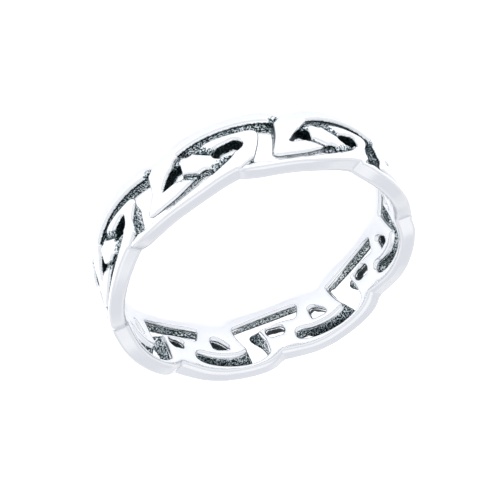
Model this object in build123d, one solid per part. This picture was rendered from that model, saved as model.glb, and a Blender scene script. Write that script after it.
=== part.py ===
from build123d import *
import bisect
import math
import os

# A one-piece band ring lying on its side: the finger axis is +Z, the ring stands on its lower edge.
# The wall is pierced with an interlaced knot that repeats round the band.
# Along = round the band in repeats, clockwise seen from above, 0 at the first upper notch.
# Across = up or down from mid height, as a share of half the band width.

finger_diameter = 18.0        # the bore at mid height
wall_thickness = 1.25         # from the bore to the outer face at mid height
band_width = 4.6              # between the crests of the upper and lower edges
bore_flare = 0.2              # how far the bore opens out at each edge, per side
flare_height = 1.1            # height of that slope
edge_bevel = 0.16             # slope between the outer face and each scalloped edge
repeats = 8                   # knot repeats round the band
first_notch_angle = -6.07     # degrees, where along = 0
edge_notch_depth = 0.58       # from a crest down to a notch in either edge
lower_notch_shift = 0.455     # repeats from an upper notch to the next lower notch
relief_depth = 0.24           # drop of a strand that dives under another
relief_run = 0.75             # length of the slope that leads down to the dive
hole_taper = 0.76             # small holes at the bore, as a share of their outer size
clearance = 0.3               # how far each cutter runs past the metal
facets = 2                    # flat steps per table point on the walls of the openings

bore_radius = finger_diameter / 2
outer_radius = bore_radius + wall_thickness
half_band = band_width / 2
repeat_angle = 2 * math.pi / repeats
pitch = repeat_angle * outer_radius

# The repeats were laid out by eye. Stray is how far the pattern lies from even spacing, in repeats.
# Turn is the place round the band as a share of a full turn.
stray = {
    "turn": (0.0, 0.07, 0.14, 0.19, 0.25, 0.325, 0.38, 0.475, 0.56, 0.62, 0.69, 0.81, 0.87, 0.92, 1.0),
    "shift": (-0.05, -0.06, -0.065, -0.03, 0.0, 0.03, 0.04, 0.0, -0.04, -0.045, 0.0, 0.0, 0.035, 0.01, -0.05),
}

# Each edge falls gently from its crest to the notch and rises steeply beyond it.
# Along is in repeats from the notch, drop is a share of the notch depth.
gentle_side = {"along": (-0.44, -0.28, -0.12, 0.0), "drop": (0.0, 0.22, 0.68, 1.0)}
steep_side = {"along": (0.0, 0.06, 0.16, 0.30), "drop": (1.0, 0.56, 0.16, 0.0)}

# The long opening runs above the lower edge, up between two loops and on below the upper edge.
# Its outline is four runs that meet in corners, each given on the outer face and at the bore.
lower_rim_run = {
    "along": (-0.36, -0.24, -0.12, 0.0, 0.13, 0.26, 0.39),
    "across": (-0.58, -0.66, -0.70, -0.71, -0.70, -0.66, -0.58),
    "deep_along": (-0.29, -0.20, -0.10, 0.0, 0.12, 0.25, 0.38),
    "deep_across": (-0.58, -0.66, -0.69, -0.70, -0.68, -0.61, -0.50),
}
left_loop_run = {
    "along": (0.39, 0.36, 0.32, 0.285, 0.31, 0.40, 0.51, 0.61, 0.69, 0.745, 0.80),
    "across": (-0.57, -0.13, 0.22, 0.53, 0.66, 0.67, 0.65, 0.565, 0.455, 0.33, 0.30),
    "deep_along": (0.38, 0.36, 0.335, 0.31, 0.335, 0.42, 0.51, 0.60, 0.68, 0.74, 0.79),
    "deep_across": (-0.50, -0.20, 0.04, 0.28, 0.40, 0.46, 0.45, 0.41, 0.35, 0.28, 0.27),
}
upper_rim_run = {
    "along": (0.80, 0.83, 0.80, 0.70, 0.57, 0.45, 0.33, 0.22, 0.13),
    "across": (0.30, 0.44, 0.58, 0.68, 0.77, 0.81, 0.80, 0.77, 0.64),
    "deep_along": (0.79, 0.815, 0.785, 0.69, 0.57, 0.45, 0.33, 0.21, 0.12),
    "deep_across": (0.27, 0.40, 0.54, 0.65, 0.72, 0.76, 0.77, 0.72, 0.58),
}
right_loop_run = {
    "along": (0.13, 0.17, 0.21, 0.245, 0.21, 0.10, -0.02, -0.13, -0.22, -0.29, -0.36),
    "across": (0.64, 0.38, 0.11, -0.25, -0.43, -0.47, -0.50, -0.49, -0.40, -0.34, -0.58),
    "deep_along": (0.12, 0.125, 0.13, 0.145, 0.145, 0.08, -0.02, -0.11, -0.18, -0.24, -0.29),
    "deep_across": (0.58, 0.30, 0.06, -0.14, -0.26, -0.32, -0.34, -0.32, -0.27, -0.25, -0.58),
}

# Two small holes lie inside the loops, one on each side of the crossing leaf.
left_hole = {
    "along": (0.445, 0.53, 0.62, 0.635, 0.635, 0.58, 0.52, 0.47),
    "across": (0.21, 0.19, 0.15, -0.04, -0.27, -0.29, -0.14, 0.06),
}
right_hole = {
    "along": (0.875, 0.91, 0.98, 1.04, 1.10, 1.11, 1.06, 0.99, 0.92),
    "across": (0.0, 0.16, 0.14, 0.14, 0.02, -0.15, -0.27, -0.24, -0.20),
}

# Dives: where the step starts and ends, and the side that its slope lies on, +1 left or -1 right.
dives = {
    "along_from": (0.60, 0.89, 0.82, 0.65, 0.0, 0.47),
    "across_from": (0.06, 0.0, 0.58, -0.53, 0.80, -0.78),
    "along_to": (0.76, 0.765, 0.96, 0.56, 0.13, 0.385),
    "across_to": (0.38, -0.33, 0.32, -0.22, 0.56, -0.53),
    "side": (1, 1, -1, -1, 1, 1),
}


def angle_at(along):
    turn = (along / repeats) % 1
    row = min(bisect.bisect_right(stray["turn"], turn), len(stray["turn"]) - 1)
    start, end = stray["turn"][row - 1], stray["turn"][row]
    share = (turn - start) / (end - start)
    shift = stray["shift"][row - 1] * (1 - share) + stray["shift"][row] * share
    return math.radians(first_notch_angle) - (along + shift) * repeat_angle


def space_point(along, height, radius):
    angle = angle_at(along)
    return Vector(radius * math.cos(angle), radius * math.sin(angle), height + half_band)


def traced(along, across, closed=False):
    curve = Spline(*[(a * pitch, c * half_band) for a, c in zip(along, across)], periodic=closed)
    count = facets * (len(along) if closed else len(along) - 1)
    return [((curve @ (i / count)).X / pitch, (curve @ (i / count)).Y) for i in range(count)]


def planes_for(alongs):
    # a flat plane inside the bore and one outside the band, both square to the middle of what is cut
    middle = (min(alongs) + max(alongs)) / 2
    span = max(abs(angle_at(a) - angle_at(middle)) for a in alongs)
    outward = space_point(middle, -half_band, 1)
    return outward, ((bore_radius - clearance) * math.cos(span), outer_radius + clearance)


def on_plane(face_spot, deep_spot, outward, distance):
    # where the line through a spot on the face and one at the bore meets the plane
    start = space_point(*face_spot, outer_radius)
    run = space_point(*deep_spot, bore_radius) - start
    return start + run * ((distance - start.dot(outward)) / run.dot(outward))


def through_cut(face, deep):
    outward, distances = planes_for([a for a, h in face])
    rings = [Wire.make_polygon([on_plane(f, d, outward, distance) for f, d in zip(face, deep)], close=True)
             for distance in distances]
    return Solid.make_loft(rings, ruled=True)


def long_opening(number):
    face, deep = [], []
    for run in (lower_rim_run, left_loop_run, upper_rim_run, right_loop_run):
        face += [(a + number, h) for a, h in traced(run["along"], run["across"])]
        deep += [(a + number, h) for a, h in traced(run["deep_along"], run["deep_across"])]
    return through_cut(face, deep)


def small_hole(hole, number):
    face = [(a + number, h) for a, h in traced(hole["along"], hole["across"], closed=True)]
    middle = sum(a for a, h in face) / len(face)
    level = sum(h for a, h in face) / len(face)
    deep = [(middle + (a - middle) * hole_taper, level + (h - level) * hole_taper) for a, h in face]
    return through_cut(face, deep)


def edge_notch(number, side):
    start = number if side > 0 else number + lower_notch_shift
    crest, out = side * half_band, side * (half_band + clearance)
    deepest = side * edge_notch_depth
    gentle, steep = [
        [(start + side * a, crest - d * deepest) for a, d in zip(flank["along"], flank["drop"])]
        for flank in (gentle_side, steep_side)
    ]
    beyond = [(steep[-1][0], out), (gentle[0][0], out)]
    outward, distances = planes_for([a for a, h in beyond])
    rings = []
    for distance in distances:
        falling, rising, outside = [
            [on_plane(spot, spot, outward, distance) for spot in row] for row in (gentle, steep, beyond)
        ]
        level = outside[0] - outside[1]
        rings.append(Wire([
            Spline(*falling, tangents=(level, falling[-1] - falling[-2])),
            Spline(*rising, tangents=(rising[1] - rising[0], level)),
            Line(rising[-1], outside[0]), Line(outside[0], outside[1]), Line(outside[1], falling[0]),
        ]))
    return Solid.make_loft(rings, ruled=True)


def dive_cut(row, number):
    start = Vector((dives["along_from"][row] + number) * pitch, dives["across_from"][row] * half_band)
    end = Vector((dives["along_to"][row] + number) * pitch, dives["across_to"][row] * half_band)
    downhill = (end - start).normalized().rotate(Axis.Z, 90 * dives["side"][row]) * relief_run
    above = outer_radius + relief_depth
    rings = []
    for corner in (start, end):
        tip = corner + downhill * 2
        rings.append(Wire.make_polygon([
            space_point(corner.X / pitch, corner.Y, outer_radius - relief_depth),
            space_point(corner.X / pitch, corner.Y, above),
            space_point(tip.X / pitch, tip.Y, above),
        ], close=True))
    return Solid.make_loft(rings, ruled=True)


def on_outer_rim(edge):
    on_face = all(abs(math.hypot((edge @ s).X, (edge @ s).Y) - outer_radius) < 0.001 for s in (0, 0.5, 1))
    return on_face and abs((edge @ 0.5).Z - half_band) > half_band / 2


# Blank: a band whose bore flares towards both edges.
with BuildPart() as blank:
    with BuildSketch(Plane.XZ):
        with BuildLine():
            flare_radius = bore_radius + bore_flare
            Polyline(
                (bore_radius, flare_height), (flare_radius, 0), (outer_radius, 0), (outer_radius, band_width),
                (flare_radius, band_width), (bore_radius, band_width - flare_height), close=True,
            )
        make_face()
    revolve(axis=Axis.Z)

band = blank.part - [edge_notch(k, side) for k in range(repeats) for side in (1, -1)]
band = chamfer([e for e in band.edges() if on_outer_rim(e)], edge_bevel)
band = band - [long_opening(k) for k in range(repeats)]
band = band - [small_hole(hole, k) for k in range(repeats) for hole in (left_hole, right_hole)]
band = band - [dive_cut(row, k) for k in range(repeats) for row in range(len(dives["side"]))]
band.label = "knot_ring"

os.makedirs("parts", exist_ok=True)
export_step(band, "parts/knot_ring.step")
print("solids", len(band.solids()), "volume", round(band.volume, 2), "size", band.bounding_box().size)
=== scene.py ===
import math
import bpy
import numpy as np
from mathutils import Matrix, Vector, geometry, noise


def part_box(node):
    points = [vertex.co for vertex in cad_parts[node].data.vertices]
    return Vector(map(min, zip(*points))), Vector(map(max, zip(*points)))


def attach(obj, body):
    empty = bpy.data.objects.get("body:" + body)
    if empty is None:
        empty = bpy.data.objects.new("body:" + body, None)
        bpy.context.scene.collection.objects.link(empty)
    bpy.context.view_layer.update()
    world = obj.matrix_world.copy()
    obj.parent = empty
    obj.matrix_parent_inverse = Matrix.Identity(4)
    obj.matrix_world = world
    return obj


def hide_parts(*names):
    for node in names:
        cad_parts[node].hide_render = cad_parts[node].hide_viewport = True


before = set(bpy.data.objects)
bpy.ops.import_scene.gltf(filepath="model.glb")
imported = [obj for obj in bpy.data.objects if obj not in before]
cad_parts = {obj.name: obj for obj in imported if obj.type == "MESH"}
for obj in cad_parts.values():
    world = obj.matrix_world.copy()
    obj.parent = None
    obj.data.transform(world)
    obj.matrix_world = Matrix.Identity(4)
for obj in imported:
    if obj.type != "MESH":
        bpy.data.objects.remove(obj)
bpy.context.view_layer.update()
mm = 0.001


def linearColour(hexText, alpha=1.0):
    # sRGB hex to the linear values that shaders take
    parts = [int(hexText[i:i + 2], 16) / 255 for i in (1, 3, 5)]
    return [c / 12.92 if c <= 0.04045 else ((c + 0.055) / 1.055) ** 2.4 for c in parts] + [alpha]


# the ring's sizes in millimetres, its diameter and width read back from the frame
low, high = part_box("knot_ring")
band = {
    "outerRadius": (high[0] - low[0]) / 2 / mm,
    "width": (high[2] - low[2]) / mm,
    "boreRadius": 9.0,
    "flare": 0.2,              # the bore opens out by this much at each edge
    "flareHeight": 1.1,
    "flareCurve": 1.3,         # 1 would be a straight cone
    "comfortRound": 0.28,      # radius between the bore and the scalloped edges
    "repeats": 8,
    "firstNotch": -6.07,       # degrees
    "notchDepth": 0.58,
    "lowerShift": 0.455,       # repeats from an upper notch to the next lower one
    "holeTaper": 0.76,         # small holes at the bore, as a share of their outer size
    "reliefDepth": 0.26,       # drop of a strand that dives under another
    "reliefRun": 0.60,         # length of the slope that leads down to it
    "reliefCurve": 1.25,       # 1 would be a straight slope
}
halfBand = band["width"] / 2
repeatAngle = 2 * math.pi / band["repeats"]
pitch = repeatAngle * band["outerRadius"]

# how far the hand-laid pattern lies from even spacing, in repeats, at shares of a full turn
stray = {
    "turn": (0.0, 0.07, 0.14, 0.19, 0.25, 0.325, 0.38, 0.475, 0.56, 0.62, 0.69, 0.81, 0.87, 0.92, 1.0),
    "shift": (-0.05, -0.06, -0.065, -0.03, 0.0, 0.03, 0.04, 0.0,
              -0.04, -0.045, 0.0, 0.0, 0.035, 0.01, -0.05),
}
# the hook of each long opening was filed out by hand: how far its two sides moved in each of the repeats,
# on the face and at the bore, and where along and across each side lies and how far the move spreads
hooks = [
    {"face": (-0.03, -0.065, 0.0, -0.06, -0.04, -0.06, -0.06, -0.05),
     "bore": (0.0, 0.04, 0.0, 0.0, -0.02, -0.03, -0.03, -0.02),
     "at": (0.19, 0.12), "reach": (0.10, 0.50)},
    {"face": (0.0, 0.03, 0.0, 0.05, 0.02, 0.0, 0.0, 0.0),
     "bore": (0.0, 0.03, 0.0, 0.03, 0.0, 0.0, 0.0, 0.0),
     "at": (0.33, 0.12), "reach": (0.08, 0.45)},
]
# the knot, one repeat: along in repeats, across as a share of half the band width
gentleSide = {"along": (-0.44, -0.28, -0.12, 0.0), "drop": (0.0, 0.22, 0.68, 1.0)}
steepSide = {"along": (0.0, 0.06, 0.16, 0.30), "drop": (1.0, 0.56, 0.16, 0.0)}
# the long opening, run by run, on the outer face and at the bore
longOpening = [
    {"along": (-0.36, -0.24, -0.12, 0.0, 0.13, 0.26, 0.39),
     "across": (-0.58, -0.66, -0.70, -0.71, -0.70, -0.66, -0.58),
     "boreAlong": (-0.29, -0.20, -0.10, 0.0, 0.12, 0.25, 0.38),
     "boreAcross": (-0.58, -0.66, -0.69, -0.70, -0.68, -0.61, -0.50)},
    {"along": (0.39, 0.36, 0.32, 0.285, 0.31, 0.40, 0.51, 0.61, 0.69, 0.745, 0.80),
     "across": (-0.57, -0.13, 0.22, 0.53, 0.66, 0.67, 0.65, 0.565, 0.455, 0.33, 0.30),
     "boreAlong": (0.38, 0.36, 0.335, 0.31, 0.335, 0.42, 0.51, 0.60, 0.68, 0.74, 0.79),
     "boreAcross": (-0.50, -0.20, 0.04, 0.28, 0.40, 0.46, 0.45, 0.41, 0.35, 0.28, 0.27)},
    {"along": (0.80, 0.83, 0.80, 0.70, 0.57, 0.45, 0.33, 0.22, 0.13),
     "across": (0.30, 0.44, 0.58, 0.68, 0.77, 0.81, 0.80, 0.77, 0.64),
     "boreAlong": (0.79, 0.815, 0.785, 0.69, 0.57, 0.45, 0.33, 0.21, 0.12),
     "boreAcross": (0.27, 0.40, 0.54, 0.65, 0.72, 0.76, 0.77, 0.72, 0.58)},
    {"along": (0.13, 0.17, 0.21, 0.245, 0.21, 0.10, -0.02, -0.13, -0.22, -0.29, -0.36),
     "across": (0.64, 0.38, 0.11, -0.25, -0.43, -0.47, -0.50, -0.49, -0.40, -0.34, -0.58),
     "boreAlong": (0.12, 0.125, 0.13, 0.145, 0.145, 0.08, -0.02, -0.11, -0.18, -0.24, -0.29),
     "boreAcross": (0.58, 0.30, 0.06, -0.14, -0.26, -0.32, -0.34, -0.32, -0.27, -0.25, -0.58)},
]
leftHole = {"along": (0.445, 0.53, 0.62, 0.635, 0.635, 0.58, 0.52, 0.47),
            "across": (0.21, 0.19, 0.15, -0.04, -0.27, -0.29, -0.14, 0.06)}
rightHole = {"along": (0.875, 0.91, 0.98, 1.04, 1.10, 1.11, 1.06, 0.99, 0.92),
             "across": (0.0, 0.16, 0.14, 0.14, 0.02, -0.15, -0.27, -0.24, -0.20)}
# where one strand passes over another: the edge of the upper strand, the side that dips (+1 left or
# -1 right), how dark the dip is, and how far from its start the dark fades out, in mm
steps = [
    {"along": (0.60, 0.67, 0.76), "across": (0.06, 0.19, 0.38), "side": 1, "dark": 1.0, "fade": 9.0},
    {"along": (0.89, 0.83, 0.765), "across": (0.0, -0.15, -0.33), "side": 1, "dark": 1.0, "fade": 9.0},
    {"along": (0.82, 0.88, 0.96, 1.02), "across": (0.58, 0.49, 0.35, 0.20),
     "side": -1, "dark": 0.9, "fade": 9.0},
    {"along": (0.65, 0.61, 0.58, 0.55), "across": (-0.53, -0.43, -0.31, -0.20),
     "side": -1, "dark": 0.9, "fade": 9.0},
    {"along": (0.13, 0.03, 0.0), "across": (0.56, 0.75, 0.84), "side": -1, "dark": 0.9, "fade": 0.45},
    {"along": (0.385, 0.43, 0.47), "across": (-0.53, -0.66, -0.80), "side": -1, "dark": 0.9, "fade": 0.45},
]
# how finely the metal is meshed and how its edges are worn, in mm where no other unit is given
meshing = {
    "outline": 0.085,                          # between points along an outline
    "spanPoints": 12,                          # points read from each span of a table before that
    "flankSpacing": 0.06,                      # between points along a notch flank while it is softened
    "flankSoftening": 14,                      # rounds of softening
    "stepSpacing": 0.05,                       # between points along the edge of a crossing strand
    "stepRows": (-0.11, -0.06, -0.025, 0.0, 0.03, 0.10),   # rows of points beside that edge
    "stepClear": 0.13,                         # the fill keeps this far from it
    "rims": (0.02, 0.055, 0.105, 0.17),        # rows of points inside each outline, on the knot face
    "grid": 0.135,                             # between the points that fill the rest of the face
    "boreRims": (0.03, 0.08, 0.16, 0.27),      # the same two at the bore
    "boreGrid": 0.28,
    "mergeGap": 0.016,                         # points closer than this become one
    "mergeCell": 0.03,
    "wallRows": (0.03, 0.10, 0.25, 0.5, 0.75, 0.93),   # depths through the wall, as shares
    "openingRound": 0.17,                      # radius of the polished edges at the openings
    "edgeRound": 0.18,                         # at the scalloped edges
    "boreRound": 0.34,                         # and at the openings on the bore side
    "dome": 0.045,                             # how much a strand crowns
    "domeReach": 0.40,                         # how far in from its edge
    "wallGrain": 0.022,                        # roughness left by the casting on the opening walls
    "grainPerMm": 5.0,
}
rowHeight = 0.866              # between rows of a triangular grid, as a share of its spacing


def smoothPoints(xs, ys, closed=False):
    # Catmull-Rom through the table points, in millimetres
    pts = np.array(list(zip(np.array(xs) * pitch, np.array(ys) * halfBand)))
    perSpan = meshing["spanPoints"]
    count = len(pts)
    out = []
    for i in range(count if closed else count - 1):
        if closed:
            p0, p1, p2, p3 = pts[i - 1], pts[i], pts[(i + 1) % count], pts[(i + 2) % count]
        else:
            p1, p2 = pts[i], pts[i + 1]
            p0 = pts[i - 1] if i else 2 * p1 - p2
            p3 = pts[i + 2] if i + 2 < count else 2 * p2 - p1
        for k in range(perSpan):
            t = k / perSpan
            out.append(0.5 * (2 * p1 + (p2 - p0) * t + (2 * p0 - 5 * p1 + 4 * p2 - p3) * t * t
                              + (3 * p1 - p0 - 3 * p2 + p3) * t ** 3))
    if not closed:
        out.append(pts[-1])
    return np.array(out)


def evenly(points, spacing, closed, partner=None):
    # the same line with even spacing, or its partner line read at the same places
    line = np.vstack([points, points[:1]]) if closed else points
    run = np.concatenate([[0], np.cumsum(np.hypot(*np.diff(line, axis=0).T))])
    count = max(3, int(round(run[-1] / spacing)))
    at = np.linspace(0, run[-1], count + 1)[:-1] if closed else np.linspace(0, run[-1], count + 1)
    if partner is not None:
        line = np.vstack([partner, partner[:1]]) if closed else partner
    return np.stack([np.interp(at, run, line[:, 0]), np.interp(at, run, line[:, 1])], 1)


def softened(points, closed, times=2):
    # each point drawn halfway to the middle of its neighbours, as often as asked
    for _ in range(times):
        if closed:
            points = points * 0.5 + (np.roll(points, 1, 0) + np.roll(points, -1, 0)) * 0.25
        else:
            inner = points[1:-1] * 0.5 + (points[:-2] + points[2:]) * 0.25
            points = np.vstack([points[:1], inner, points[-1:]])
    return points


def inPolygon(points, polygon):
    # which points lie inside, by counting the sides that a ray crosses
    inside = np.zeros(len(points), bool)
    x, y = points[:, 0], points[:, 1]
    xs, ys = polygon[:, 0], polygon[:, 1]
    for x1, y1, x2, y2 in zip(xs, ys, np.roll(xs, -1), np.roll(ys, -1)):
        if y1 == y2:
            continue
        crosses = (y1 > y) != (y2 > y)
        inside ^= crosses & (x < (x2 - x1) * (y - y1) / (y2 - y1) + x1)
    return inside


def nearest(points, starts, ends):
    # distance from each point to the closest of some segments, and which segment that is
    best = np.full(len(points), 1e9)
    which = np.zeros(len(points), int)
    span = ends - starts
    length2 = np.maximum((span ** 2).sum(1), 1e-12)
    batch = 1500                   # keeps the tables of distances small
    for begin in range(0, len(points), batch):
        part = points[begin:begin + batch]
        rel = part[:, None, :] - starts[None]
        t = np.clip((rel * span[None]).sum(2) / length2[None], 0, 1)
        gap = np.sqrt(((rel - t[..., None] * span[None]) ** 2).sum(2))
        which[begin:begin + batch] = gap.argmin(1)
        best[begin:begin + batch] = gap.min(1)
    return best, which


def edgeLine(side):
    # one repeat of a scalloped edge, from crest to crest
    start = 0.0 if side > 0 else band["lowerShift"]
    gentle = smoothPoints(gentleSide["along"], np.array(gentleSide["drop"]))
    steep = smoothPoints(steepSide["along"], np.array(steepSide["drop"]))
    flatEnd = (gentleSide["along"][0] + 1) * pitch
    flanks = [np.vstack([[gentle[0, 0] - 0.4, 0], gentle]), np.vstack([steep, [flatEnd, 0]])]
    # both flanks are soft, and only the crease between them stays sharp
    spacing, times = meshing["flankSpacing"], meshing["flankSoftening"]
    gentle, steep = [softened(evenly(flank, spacing, False), False, times) for flank in flanks]
    line = np.vstack([gentle[gentle[:, 0] >= flatEnd - pitch], steep[1:]])
    line[:, 1] = halfBand - np.clip(line[:, 1] / halfBand, 0, 1) * band["notchDepth"]
    line = np.vstack([[flatEnd - pitch, line[0, 1]], line])
    line = evenly(line, meshing["outline"], False)[:-1]
    line = np.stack([line[:, 0] * side + start * pitch, line[:, 1] * side], 1)
    return line[np.argsort(line[:, 0])]


def repeated(points, copies=(-1, 0, 1)):
    # a line of one repeat, joined to its copies in the repeats beside it
    return np.vstack([points + [k * pitch, 0] for k in copies])


def openingOutlines():
    # the three openings of one repeat, on the outer face and at the bore, point for point
    spacing = meshing["outline"]
    facing, boreward = [], []
    for run in longOpening:
        face = smoothPoints(run["along"], run["across"])
        deep = smoothPoints(run["boreAlong"], run["boreAcross"])
        facing.append(evenly(face, spacing, False)[:-1])
        boreward.append(evenly(face, spacing, False, deep)[:-1])
    faceLoops = [softened(np.vstack(facing), True)]
    boreLoops = [softened(np.vstack(boreward), True)]
    for table in (leftHole, rightHole):
        line = evenly(smoothPoints(table["along"], table["across"], closed=True), spacing, True)
        line = softened(line, True)
        middle = line.mean(0)
        faceLoops.append(line)
        boreLoops.append(middle + (line - middle) * band["holeTaper"])
    return faceLoops, boreLoops


class Knot:
    # the outlines of one repeat and what they say about any point of the face
    def __init__(self, loops):
        self.loops = loops
        self.edges = [edgeLine(1), edgeLine(-1)]
        spacing = meshing["stepSpacing"]
        self.steps = [evenly(smoothPoints(s["along"], s["across"]), spacing, False) for s in steps]
        wide = (-2, -1, 0, 1, 2)
        self.wideLoops = [loop + [k * pitch, 0] for loop in self.loops for k in wide]
        loopEnds = [(loop, np.roll(loop, -1, 0)) for loop in self.wideLoops]
        edgeEnds = [(line[:-1], line[1:]) for line in (repeated(edge, wide) for edge in self.edges)]
        self.loopSegments = [np.vstack(ends) for ends in zip(*loopEnds)]
        self.edgeSegments = [np.vstack(ends) for ends in zip(*edgeEnds)]

    def inside(self, points):
        # which points lie on metal
        top, bottom = [repeated(e, (-3, -2, -1, 0, 1, 2, 3)) for e in self.edges]
        kept = points[:, 1] < np.interp(points[:, 0], top[:, 0], top[:, 1])
        kept &= points[:, 1] > np.interp(points[:, 0], bottom[:, 0], bottom[:, 1])
        for loop in self.wideLoops:
            near = (points[:, 0] > loop[:, 0].min()) & (points[:, 0] < loop[:, 0].max()) & kept
            if near.any():
                kept[near] &= ~inPolygon(points[near], loop)
        return kept

    def toOutline(self, points):
        # distances to the nearest opening and to the nearest scalloped edge
        return nearest(points, *self.loopSegments)[0], nearest(points, *self.edgeSegments)[0]

    def relief(self, points):
        # how deep each point dips under a crossing strand, how dark it is, and for points on the
        # upper strand the distance to its edge
        dip, dark = np.zeros(len(points)), np.zeros(len(points))
        over = np.full(len(points), 9.0)
        reach = 2.2                # mm, past every step's own length and slope
        for line, spec in zip(self.steps, steps):
            for k in (-2, -1, 0, 1, 2):
                shifted = line + [k * pitch, 0]
                near = np.abs(points[:, 0] - shifted[:, 0].mean()) < reach
                if not near.any():
                    continue
                part = points[near]
                gap, which = nearest(part, shifted[:-1], shifted[1:])
                a, b = shifted[which], shifted[which + 1]
                run, rel = b - a, part - a
                side = np.sign(run[:, 0] * rel[:, 1] - run[:, 1] * rel[:, 0]) * spec["side"]
                along = (rel * run).sum(1) / (run ** 2).sum(1)
                past = (along < -0.5) & (which == 0) | (along > 1.5) & (which == len(shifted) - 2)
                slope = np.clip(1 - gap / band["reliefRun"], 0, 1) ** band["reliefCurve"]
                dips = np.where((side > 0) & ~past, slope, 0)
                travelled = np.hypot(*(part - shifted[0]).T)
                fade = np.clip(1.5 - travelled / spec["fade"], 0, 1)
                # the dip stays a third as deep where its dark has faded out
                dip[near] = np.maximum(dip[near], dips * (0.35 + 0.65 * fade))
                dark[near] = np.maximum(dark[near], dips * fade * spec["dark"])
                over[near] = np.where((side <= 0) & ~past, np.minimum(over[near], gap), over[near])
        return dip, dark, over


faceLoops, boreLoops = openingOutlines()
faceKnot, boreKnot = Knot(faceLoops), Knot(boreLoops)


def jitter(i, j):
    # small fixed scatter, so that no four points lie on one circle
    return (math.sin(i * 12.9898 + j * 78.233) * 43758.5453) % 1.0 - 0.5


def facePoints(knot, rims, grid, withSteps):
    # the points of one repeat, the outlines first
    outline = knot.loops + knot.edges
    sets = [np.vstack(outline)]
    for offset in rims:
        for index, line in enumerate(outline):
            if index < len(knot.loops):
                tangent = np.roll(line, -1, 0) - np.roll(line, 1, 0)
            else:
                wide = repeated(line)
                tangent = (np.roll(wide, -1, 0) - np.roll(wide, 1, 0))[len(line):2 * len(line)]
            normal = np.stack([tangent[:, 1], -tangent[:, 0]], 1)
            normal /= np.maximum(np.hypot(*normal.T), 1e-9)[:, None]
            for sign in (1, -1):
                row = line + normal * offset * sign
                kept = knot.inside(row) & (np.minimum(*knot.toOutline(row)) > offset * 0.93)
                sets.append(row[kept])
    if withSteps:
        for line, spec in zip(knot.steps, steps):
            tangent = np.gradient(line, axis=0)
            normal = np.stack([-tangent[:, 1], tangent[:, 0]], 1) * spec["side"]
            normal /= np.maximum(np.hypot(*normal.T), 1e-9)[:, None]
            for offset in meshing["stepRows"]:
                row = line + normal * offset
                sets.append(row[knot.inside(row) & (np.minimum(*knot.toOutline(row)) > rims[0])])
    # a scattered triangular grid fills the rest
    rows = int(band["width"] / (grid * rowHeight)) + 2
    columns = int(round(pitch / grid))
    cells = []
    for j in range(rows):
        for i in range(columns):
            x = (i + 0.5 * (j % 2) + 0.25 * jitter(i, j)) * pitch / columns
            cells.append((x, -halfBand + j * grid * rowHeight + 0.25 * grid * jitter(j + 7, i)))
    cells = np.array(cells)
    keep = knot.inside(cells) & (np.minimum(*knot.toOutline(cells)) > rims[-1] + grid * 0.4)
    if withSteps:
        lines = [line + [k * pitch, 0] for line in knot.steps for k in (-1, 0, 1)]
        starts = np.vstack([line[:-1] for line in lines])
        ends = np.vstack([line[1:] for line in lines])
        keep &= nearest(cells, starts, ends)[0] > meshing["stepClear"]
    sets.append(cells[keep])
    points = np.vstack(sets)
    # drop points that nearly coincide with an earlier one, in this repeat or the next
    wrapped = points.copy()
    wrapped[:, 0] %= pitch
    taken = {}
    kept = []
    fixed = len(sets[0])
    cell = meshing["mergeCell"]
    for index, (x, y) in enumerate(wrapped):
        key = (int(x / cell), int(math.floor(y / cell)))
        around = [taken.get((key[0] + a, key[1] + b), ()) for a in (-1, 0, 1) for b in (-1, 0, 1)]
        close = any(math.hypot(x - px, y - py) < meshing["mergeGap"] for group in around for px, py in group)
        if index >= fixed and close:
            continue
        taken.setdefault(key, []).append((x, y))
        kept.append(index)
    return points[kept]


def triangulated(knot, points):
    # Delaunay over four repeats, held to the outlines, then cut back to one repeat's worth of triangles:
    # the corners of each as points of one repeat, and the repeat that each corner lies in
    count = len(points)
    copies = (-1, 0, 1, 2)
    coords = [Vector((x + k * pitch, y)) for k in copies for x, y in points]
    held = []
    start = 0
    for line in knot.loops:
        for c in range(len(copies)):
            base = c * count + start
            held += [(base + i, base + (i + 1) % len(line)) for i in range(len(line))]
        start += len(line)
    for line in knot.edges:
        for c in range(len(copies)):
            base = c * count + start
            held += [(base + i, base + i + 1) for i in range(len(line) - 1)]
            if c + 1 < len(copies):
                held.append((base + len(line) - 1, base + count))
        start += len(line)
    found = geometry.delaunay_2d_cdt(coords, held, [], 0, 1e-7)
    newCoords, tris, origin = found[0], found[2], found[3]
    source = np.array([ids[0] if ids else -1 for ids in origin])
    tris = np.array([t for t in tris if len(t) == 3])
    xy = np.array([(c.x, c.y) for c in newCoords])
    middle = xy[tris].mean(1)
    keep = knot.inside(middle) & (middle[:, 0] >= 0.25 * pitch) & (middle[:, 0] < 1.25 * pitch)
    tris = source[tris[keep]]
    print("triangles in a repeat", len(tris), "points", count, "unmatched", int((tris < 0).sum()))
    return tris % count, tris // count - 1


def boreRadiusAt(across):
    # plain in the middle, flared towards both edges
    rise = np.clip((np.abs(across) - (halfBand - band["flareHeight"])) / band["flareHeight"], 0, 1)
    return band["boreRadius"] + band["flare"] * rise ** band["flareCurve"]


def rounded(gap, radius):
    # how far a polished edge falls away at some distance inside it
    return radius - np.sqrt(np.maximum(radius ** 2 - np.maximum(radius - gap, 0) ** 2, 0))


def hookShare(plan, side):
    # 1 beside one side of the hook, 0 away from it
    apart = [(plan[:, 0] / pitch - side["at"][0]) / side["reach"][0],
             (plan[:, 1] / halfBand - side["at"][1]) / side["reach"][1]]
    return np.exp(-apart[0] ** 2 - apart[1] ** 2)


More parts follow.
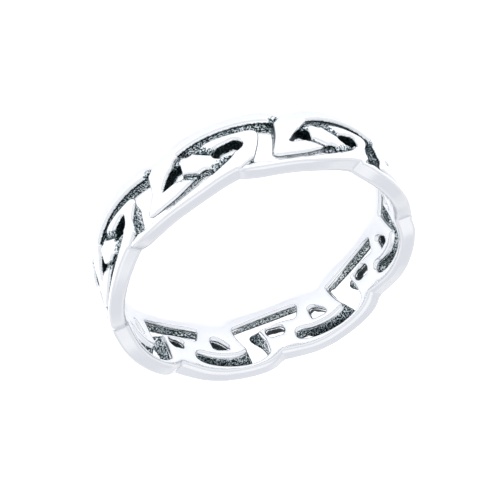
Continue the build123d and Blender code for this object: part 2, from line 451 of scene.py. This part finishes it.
# how much oxide lies on the walls of the openings, 0 none and 1 black, by depth through the wall, and a
# painted shade line at their rims
oxideAndPaintedRimShade = {
    "slotDepth": (0.0, 0.03, 0.10, 0.24, 0.70, 0.93, 1.0),
    "slot": (0.3, 0.9, 0.95, 0.54, 0.51, 0.64, 0.3),   # black under the outer rim, slate further in
    "holeDepth": (0.0, 0.03, 0.85, 1.0),
    "hole": (0.3, 0.95, 1.0, 0.3),                     # the small holes are black
    "hookPaler": 0.25,                                 # share that was filed away beside the hooks
    "outline": 0.25,                                   # painted shade: a thin grey line on the face at each opening's rim
}


def wallRecess(loopOf, depth, plan):
    slot = np.interp(depth, oxideAndPaintedRimShade["slotDepth"], oxideAndPaintedRimShade["slot"])
    hole = np.interp(depth, oxideAndPaintedRimShade["holeDepth"], oxideAndPaintedRimShade["hole"])
    slot = slot * (1 - oxideAndPaintedRimShade["hookPaler"] * hookShare(plan, hooks[0]))
    return np.where(loopOf == 0, slot, np.where(loopOf < len(faceLoops), hole, 0.0))


def ringMesh():
    # one repeat: its points, their radius, depth and shades, and the triangles and wall strips between them
    face = facePoints(faceKnot, meshing["rims"], meshing["grid"], True)
    bore = facePoints(boreKnot, meshing["boreRims"], meshing["boreGrid"], False)
    faceTris = triangulated(faceKnot, face)
    boreTris = triangulated(boreKnot, bore)
    outlineCount = sum(len(line) for line in faceKnot.loops + faceKnot.edges)
    loopCount = sum(len(line) for line in faceKnot.loops)
    toLoop, faceEdgeGap = faceKnot.toOutline(face)
    toLoop[:loopCount] = 0
    faceEdgeGap[loopCount:outlineCount] = 0
    dip, dark, over = faceKnot.relief(face)
    rim = np.minimum(toLoop, over)
    crown = meshing["dome"] * np.clip(1 - np.minimum(rim, faceEdgeGap) / meshing["domeReach"], 0, 1) ** 2
    falls = np.maximum(rounded(rim, meshing["openingRound"]), rounded(faceEdgeGap, meshing["edgeRound"]))
    faceRadius = band["outerRadius"] - falls - crown - dip * band["reliefDepth"]
    toLoop, boreEdgeGap = boreKnot.toOutline(bore)
    toLoop[:loopCount] = 0
    boreEdgeGap[loopCount:outlineCount] = 0
    boreRadii = boreRadiusAt(bore[:, 1]) + np.maximum(rounded(toLoop, meshing["boreRound"]),
                                                      rounded(boreEdgeGap, band["comfortRound"]))

    # rows of points down the walls, from the outlines on the face to those at the bore
    wallRows = []
    for t in meshing["wallRows"]:
        plan = face[:outlineCount] * (1 - t) + bore[:outlineCount] * t
        wallRows.append((plan, faceRadius[:outlineCount] * (1 - t) + boreRadii[:outlineCount] * t, t))

    plans = [face, bore] + [w[0] for w in wallRows]
    radii = [faceRadius, boreRadii] + [w[1] for w in wallRows]
    loopOf = np.concatenate([np.full(len(line), i) for i, line in enumerate(faceKnot.loops + faceKnot.edges)])
    opening = np.where(loopOf < len(faceLoops), 1.0, 0.0)
    kinds = [np.zeros(len(face)), np.zeros(len(bore))] + [opening] * len(wallRows)
    recess = np.concatenate([dark, np.zeros(len(bore))]
                            + [wallRecess(loopOf, t, plan) for plan, _, t in wallRows])
    # painted shade: a thin grey line on the face along the rim of each opening
    recess[:outlineCount] = np.maximum(recess[:outlineCount], opening * oxideAndPaintedRimShade["outline"])
    # the scalloped edges and side faces are a little less polished than the broad faces, and carry a painted
    # shade: a greyer colour along them
    satinAndEdgeShade = np.concatenate([np.clip(1 - faceEdgeGap / meshing["edgeRound"], 0, 1),
                            np.clip(1 - boreEdgeGap / band["comfortRound"], 0, 1)]
                           + [1 - opening] * len(wallRows))
    plan = np.vstack(plans)
    radius = np.concatenate(radii)
    kind = np.concatenate(kinds)
    perRepeat = len(plan)

    walls = []
    wallStart = len(face) + len(bore)
    start = 0
    for index, line in enumerate(faceKnot.loops + faceKnot.edges):
        count = len(line)
        closed = index < len(faceKnot.loops)
        for i in range(count):
            j = (i + 1) % count
            step = 0 if closed or i + 1 < count else 1
            chain = [(start + i, start + j)]
            for r in range(len(wallRows)):
                base = wallStart + r * outlineCount + start
                chain.append((base + i, base + j))
            chain.append((len(face) + start + i, len(face) + start + j))
            for (a, b), (c, d) in zip(chain[:-1], chain[1:]):
                walls.append((a, b, d, c, step, index))
        start += count
    depth = np.concatenate([np.zeros(len(face)), np.ones(len(bore))]
                           + [np.full(len(w[0]), w[2]) for w in wallRows])
    return plan, radius, kind, depth, (recess, satinAndEdgeShade), faceTris, boreTris, walls, perRepeat, len(face)


def buildRing():
    # the repeat is laid round the finger eight times, each with its own hand work, and joined up
    plan, radius, kind, depth, shades, faceTris, boreTris, walls, perRepeat, faceCount = ringMesh()
    total = band["repeats"]
    verts = np.zeros((perRepeat * total, 3))
    for k in range(total):
        along = plan[:, 0] / pitch + k
        for near in (-1, 0, 1):
            for side in hooks:
                number = (k + near) % total
                moved = side["face"][number] * (1 - depth) + side["bore"][number] * depth
                along = along + moved * hookShare(plan - [near * pitch, 0], side)
        along += np.interp(along / total % 1, stray["turn"], stray["shift"])
        angle = math.radians(band["firstNotch"]) - along * repeatAngle
        rough = np.zeros(perRepeat)
        for i in np.nonzero(kind)[0]:
            spot = Vector((plan[i, 0] + k * pitch, plan[i, 1], radius[i])) * meshing["grainPerMm"]
            rough[i] = noise.noise(spot) + 0.5 * noise.noise(spot * 2.3)
        grain = meshing["wallGrain"] * rough
        verts[k * perRepeat:(k + 1) * perRepeat] = np.stack([
            (radius + grain) * np.cos(angle), (radius + grain) * np.sin(angle),
            plan[:, 1] + halfBand + grain * 0.7], 1)

    faces = []
    size = perRepeat * total
    for (tris, copies), offset, flip in ((faceTris, 0, False), (boreTris, faceCount, True)):
        for tri, copy in zip(tris + offset, copies):
            placed = tri + copy * perRepeat
            a, b, c = plan[tri, :] + np.stack([copy * pitch, np.zeros(3)], 1)
            turn = (b[0] - a[0]) * (c[1] - a[1]) - (b[1] - a[1]) * (c[0] - a[0])
            if (turn > 0) != flip:
                placed = placed[::-1]
            for k in range(total):
                faces.append([int(p) for p in (placed + k * perRepeat) % size])
    outlineSets = faceKnot.loops + faceKnot.edges
    for a, b, c, d, step, index in walls:
        jump = step * perRepeat
        quad = np.array([a, b + jump, c + jump, d])
        # loops that turn one way face out, the two edges are set by which side they bound
        line = outlineSets[index]
        if index < len(faceKnot.loops):
            area = (line[:, 0] * np.roll(line[:, 1], -1) - np.roll(line[:, 0], -1) * line[:, 1]).sum()
            flip = area > 0
        else:
            flip = index == len(faceKnot.loops)
        if flip:
            quad = quad[::-1]
        for k in range(total):
            faces.append([int(p) for p in (quad + k * perRepeat) % size])
    mesh = bpy.data.meshes.new("knotRing")
    mesh.from_pydata((verts * mm).tolist(), [], faces)
    mesh.validate()
    mesh.update()
    for name, shade in zip(("recess", "satinAndEdgeShade"), shades):
        attribute = mesh.attributes.new(name, "FLOAT", "POINT")
        attribute.data.foreach_set("value", np.tile(shade, total).astype(np.float32))
    for polygon in mesh.polygons:
        polygon.use_smooth = True
    triangles = sum(len(p.vertices) - 2 for p in mesh.polygons)
    print("ring mesh", len(mesh.vertices), "points", triangles, "triangles")
    ringObject = bpy.data.objects.new("knotRing", mesh)
    bpy.context.collection.objects.link(ringObject)
    return ringObject


def addNode(tree, kind, settings=None, links=None):
    # a node with its settings, and links as {input name or number: (node, output)}
    node = tree.nodes.new(kind)
    for key, value in (settings or {}).items():
        if isinstance(key, int) or key in node.inputs.keys():
            node.inputs[key].default_value = value
        else:
            setattr(node, key, value)
    for key, (source, output) in (links or {}).items():
        tree.links.new(source.outputs[output], node.inputs[key])
    return node


silver = {
    "polished": "#EBEDF0",     # sterling silver, hand polished: near white with a cool cast
    "satinAndEdgeShade": "#E2E4E8",        # painted shade on the scalloped edges and side faces, greyer than the polish; they are also less polished
    "paleSlate": "#9EAFB3",    # worn oxide beside the polished strands
    "slate": "#4B6065",        # thin oxide on the walls of the slots
    "oxide": "#0F1618",        # thick oxide in the small holes and under the crossings
    "toneStops": (0.10, 0.34, 0.58, 0.95),     # where these four tones from bare to black are reached
    "polishedRoughness": 0.13,
    "satinRoughness": 0.26,
    "oxideRoughness": 0.55,
    "oxideSpan": (0.10, 0.70),                 # the depth of oxide over which the polish is lost
    "grainSize": 0.11,         # mm, casting grain that the polishing wheel doesn't reach
    "grainSpan": (0.42, 0.58),                 # a narrow part of the noise, so that the specks are crisp
    "grainSwing": (-0.38, 0.40),               # how much paler and darker they make the oxide
    "grainFrom": (0.02, 0.25),                 # the depth of oxide at which they start and are full
    "sootFrom": (0.80, 1.0),                   # thick soot hides them again
    "sootShare": 0.35,
    "grainHeight": 0.06,       # mm
    "waveSize": 1.6,           # mm, soft unevenness of hand polishing
    "waveHeight": 0.03,        # mm
}


def silverMaterial():
    # cast sterling silver, wheel polished: bright mirror strands with dark sooty recesses
    material = bpy.data.materials.new("polishedOxidisedSilver")
    material.use_nodes = True
    tree = material.node_tree
    tree.nodes.clear()
    place = addNode(tree, "ShaderNodeTexCoord")
    recess = addNode(tree, "ShaderNodeAttribute", {"attribute_name": "recess"})
    satinAndEdgeShade = addNode(tree, "ShaderNodeAttribute", {"attribute_name": "satinAndEdgeShade"})
    grain = addNode(tree, "ShaderNodeTexNoise",
                    {"Scale": 1 / (silver["grainSize"] * mm), "Detail": 2.0, "Roughness": 0.55},
                    {"Vector": (place, "Object")})
    wave = addNode(tree, "ShaderNodeTexNoise", {"Scale": 1 / (silver["waveSize"] * mm), "Detail": 1.0},
                   {"Vector": (place, "Object")})
    # crisp light and dark specks wherever the polish doesn't reach
    specks = addNode(tree, "ShaderNodeMapRange",
                     {"From Min": silver["grainSpan"][0], "From Max": silver["grainSpan"][1],
                      "To Min": silver["grainSwing"][0], "To Max": silver["grainSwing"][1]},
                     {"Value": (grain, "Fac")})
    rough = addNode(tree, "ShaderNodeMapRange",
                    {"From Min": silver["grainFrom"][0], "From Max": silver["grainFrom"][1]},
                    {"Value": (recess, "Fac")})
    sooty = addNode(tree, "ShaderNodeMapRange",
                    {"From Min": silver["sootFrom"][0], "From Max": silver["sootFrom"][1],
                     "To Min": 1.0, "To Max": silver["sootShare"]},
                    {"Value": (recess, "Fac")})
    share = addNode(tree, "ShaderNodeMath", {"operation": "MULTIPLY"}, {0: (rough, 0), 1: (sooty, 0)})
    uneven = addNode(tree, "ShaderNodeMath", {"operation": "MULTIPLY"}, {0: (specks, 0), 1: (share, 0)})
    depth = addNode(tree, "ShaderNodeMath", {"operation": "ADD", "use_clamp": True},
                    {0: (recess, "Fac"), 1: (uneven, 0)})
    tone = addNode(tree, "ShaderNodeValToRGB", {}, {"Fac": (depth, 0)})
    ramp = tone.color_ramp
    stops = silver["toneStops"]
    ramp.elements[0].position = stops[0]
    ramp.elements[0].color = linearColour(silver["polished"])
    ramp.elements[1].position = stops[3]
    ramp.elements[1].color = linearColour(silver["oxide"])
    for stop, name in ((stops[1], "paleSlate"), (stops[2], "slate")):
        ramp.elements.new(stop).color = linearColour(silver[name])
    # painted shade: the scalloped edges and side faces take the greyer colour
    edged = addNode(tree, "ShaderNodeMix", {"data_type": "RGBA", 7: linearColour(silver["satinAndEdgeShade"])},
                    {0: (satinAndEdgeShade, "Fac"), 6: (tone, "Color")})
    oxidised = addNode(tree, "ShaderNodeMapRange",
                       {"From Min": silver["oxideSpan"][0], "From Max": silver["oxideSpan"][1],
                        "To Min": silver["polishedRoughness"], "To Max": silver["oxideRoughness"]},
                       {"Value": (depth, 0)})
    lostPolish = silver["satinRoughness"] - silver["polishedRoughness"]
    brushed = addNode(tree, "ShaderNodeMath", {"operation": "MULTIPLY_ADD", 1: lostPolish},
                      {0: (satinAndEdgeShade, "Fac"), 2: (oxidised, 0)})
    grainHeight = addNode(tree, "ShaderNodeMath", {"operation": "MULTIPLY"},
                          {0: (grain, "Fac"), 1: (rough, 0)})
    bump = addNode(tree, "ShaderNodeBump", {"Strength": 0.7, "Distance": silver["grainHeight"] * mm},
                   {"Height": (grainHeight, 0)})
    polish = addNode(tree, "ShaderNodeBump", {"Strength": 0.15, "Distance": silver["waveHeight"] * mm},
                     {"Height": (wave, "Fac"), "Normal": (bump, 0)})
    shader = addNode(tree, "ShaderNodeBsdfPrincipled", {"Metallic": 1.0},
                     {"Base Color": (edged, 2), "Roughness": (brushed, 0), "Normal": (polish, 0)})
    addNode(tree, "ShaderNodeOutputMaterial", {}, {"Surface": (shader, 0)})
    return material


def ringPiece():
    piece = buildRing()
    piece.data.materials.append(silverMaterial())
    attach(piece, "root")
    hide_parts("knot_ring")
    print("ring placed")


studio = {
    "floor": "#F7F7F9",
    "floorRoughness": 0.6,
    "floorGlow": 0.39,         # lit from below, so that shadows stay faint
    "floorSize": 1.2,          # metres
    # the soft box dome, by height of the direction: straight down is -1, level 0, straight up 1
    "dome": [
        (-0.15, "#FFFFFF", 1.10), (-0.02, "#EFF0F4", 1.0), (0.14, "#EFF0F4", 1.0), (0.26, "#FFFFFF", 1.10),
        (0.40, "#FFFFFF", 1.10), (0.52, "#F5F6FA", 1.0), (0.74, "#F5F6FA", 1.0), (0.90, "#FFFFFF", 1.20),
    ],
}


def floorAndLight():
    bpy.context.scene.view_settings.view_transform = "Standard"
    bpy.ops.mesh.primitive_plane_add(size=studio["floorSize"], location=(0, 0, low[2]))
    floor = bpy.context.active_object
    floor.name = "floor"
    # frosted acrylic sheet, lit from below: an even white without gloss
    sweep = bpy.data.materials.new("litAcrylicSweep")
    sweep.use_nodes = True
    shader = sweep.node_tree.nodes["Principled BSDF"]
    shader.inputs["Base Color"].default_value = linearColour(studio["floor"])
    shader.inputs["Roughness"].default_value = studio["floorRoughness"]
    shader.inputs["Emission Color"].default_value = linearColour(studio["floor"])
    shader.inputs["Emission Strength"].default_value = studio["floorGlow"]
    floor.data.materials.append(sweep)
    # bright and slightly greyer bands of a soft dome, which give the polished metal its soft shading
    world = bpy.data.worlds.new("softBoxDome")
    bpy.context.scene.world = world
    world.use_nodes = True
    tree = world.node_tree
    direction = addNode(tree, "ShaderNodeTexCoord")
    parts = addNode(tree, "ShaderNodeSeparateXYZ", {}, {"Vector": (direction, "Generated")})
    height = addNode(tree, "ShaderNodeMath", {"operation": "MULTIPLY_ADD", 1: 0.5, 2: 0.5}, {0: (parts, "Z")})
    bands = addNode(tree, "ShaderNodeValToRGB", {}, {"Fac": (height, 0)})
    ramp = bands.color_ramp
    for index, (z, colour, strength) in enumerate(studio["dome"]):
        place = z * 0.5 + 0.5
        if index < 2:
            element = ramp.elements[index]
            element.position = place
        else:
            element = ramp.elements.new(place)
        element.color = [c * strength for c in linearColour(colour)[:3]] + [1.0]
    tree.links.new(bands.outputs["Color"], tree.nodes["Background"].inputs["Color"])
    print("studio lit")


# the photograph's camera: above the floor, turned about its own axis as the photograph shows the ring
view = {
    "elevation": 38.0,         # degrees
    "roll": 155.9,
    "distance": 104.2,         # mm from the ring's middle
    "focalPixels": 1631.6,     # focal length, in pixels of the picture
    "pixels": 500,             # width of the picture
    "middleAt": (254.4, 252.5),  # where the ring's middle falls in the picture
    "sensor": 36.0,            # mm
    "clipStart": 0.005,        # metres
}


def photoCamera():
    e, r = math.radians(view["elevation"]), math.radians(view["roll"])
    back = Vector((0, -math.cos(e), math.sin(e)))
    right = Vector((1, 0, 0))
    up = back.cross(right)
    across = right * math.cos(r) + up * math.sin(r)
    upward = up * math.cos(r) - right * math.sin(r)
    middle = Vector((0, 0, low[2] + halfBand * mm))
    perPixel = view["distance"] * mm / view["focalPixels"]
    aim = middle - across * (view["middleAt"][0] - view["pixels"] / 2) * perPixel
    aim += upward * (view["middleAt"][1] - view["pixels"] / 2) * perPixel
    data = bpy.data.cameras.new("photoCamera")
    data.sensor_width = view["sensor"]
    data.lens = view["focalPixels"] * view["sensor"] / view["pixels"]
    data.clip_start = view["clipStart"]
    camera = bpy.data.objects.new("photoCamera", data)
    bpy.context.collection.objects.link(camera)
    turn = Matrix((across, upward, back)).transposed().to_4x4()
    camera.matrix_world = Matrix.Translation(aim + back * view["distance"] * mm) @ turn
    bpy.context.scene.camera = camera
    print("camera set")


ringPiece()
floorAndLight()
photoCamera()
